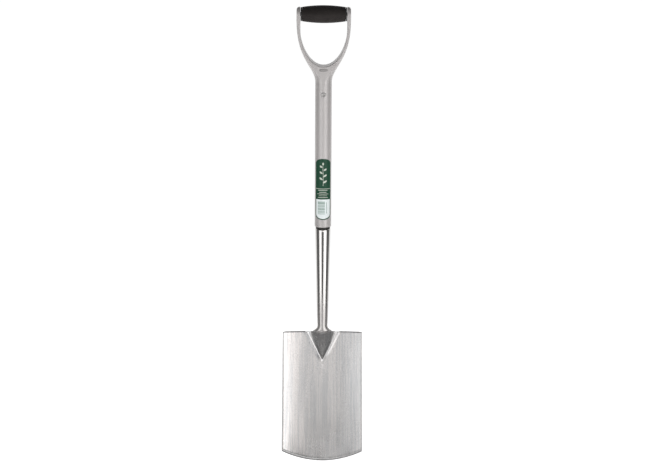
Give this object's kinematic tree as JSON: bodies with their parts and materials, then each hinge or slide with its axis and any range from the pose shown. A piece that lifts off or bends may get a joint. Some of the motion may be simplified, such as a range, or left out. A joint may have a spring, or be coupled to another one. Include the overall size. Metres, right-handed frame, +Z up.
{
  "type": "garden spade",
  "caption": "Stainless steel digging spade with a pressed blade, tapered neck, plastic-covered shaft and D-shaped handle with a soft black grip.",
  "frame": {"origin": "Under the middle of the spade's box, level with the lowest point of the cutting edge.", "axes": "+Z runs up the shaft from the blade to the grip, -Y is the front, towards which the blade is hollow, and X runs across the blade along the grip."},
  "size_m": [0.1826, 0.0742, 1.0301],
  "materials": {
    "brushed_blade": "satin, brushed lengthwise",
    "polished_neck": "mirror polished stainless steel",
    "weld_bead": "as welded, lightly dressed",
    "rivet_steel": "satin",
    "tube_steel": "drawn tube",
    "grey_plastic": "semi-gloss warm grey",
    "black_plastic": "satin black",
    "soft_grip": "soft touch, matt",
    "label_film": "glossy printed film"
  },
  "bodies": {
    "root": {"blade": "brushed_blade", "neck_socket": "polished_neck", "weld_left": "weld_bead", "weld_right": "weld_bead", "socket_rivet": "rivet_steel", "collar_ring": "black_plastic", "shaft_core": "tube_steel", "shaft_sleeve": "grey_plastic", "label": "label_film", "handle_yoke": "grey_plastic", "yoke_rivet": "rivet_steel", "grip_core": "black_plastic", "grip_sleeve": "soft_grip", "grip_rod": "tube_steel"}
  },
  "joints": []
}
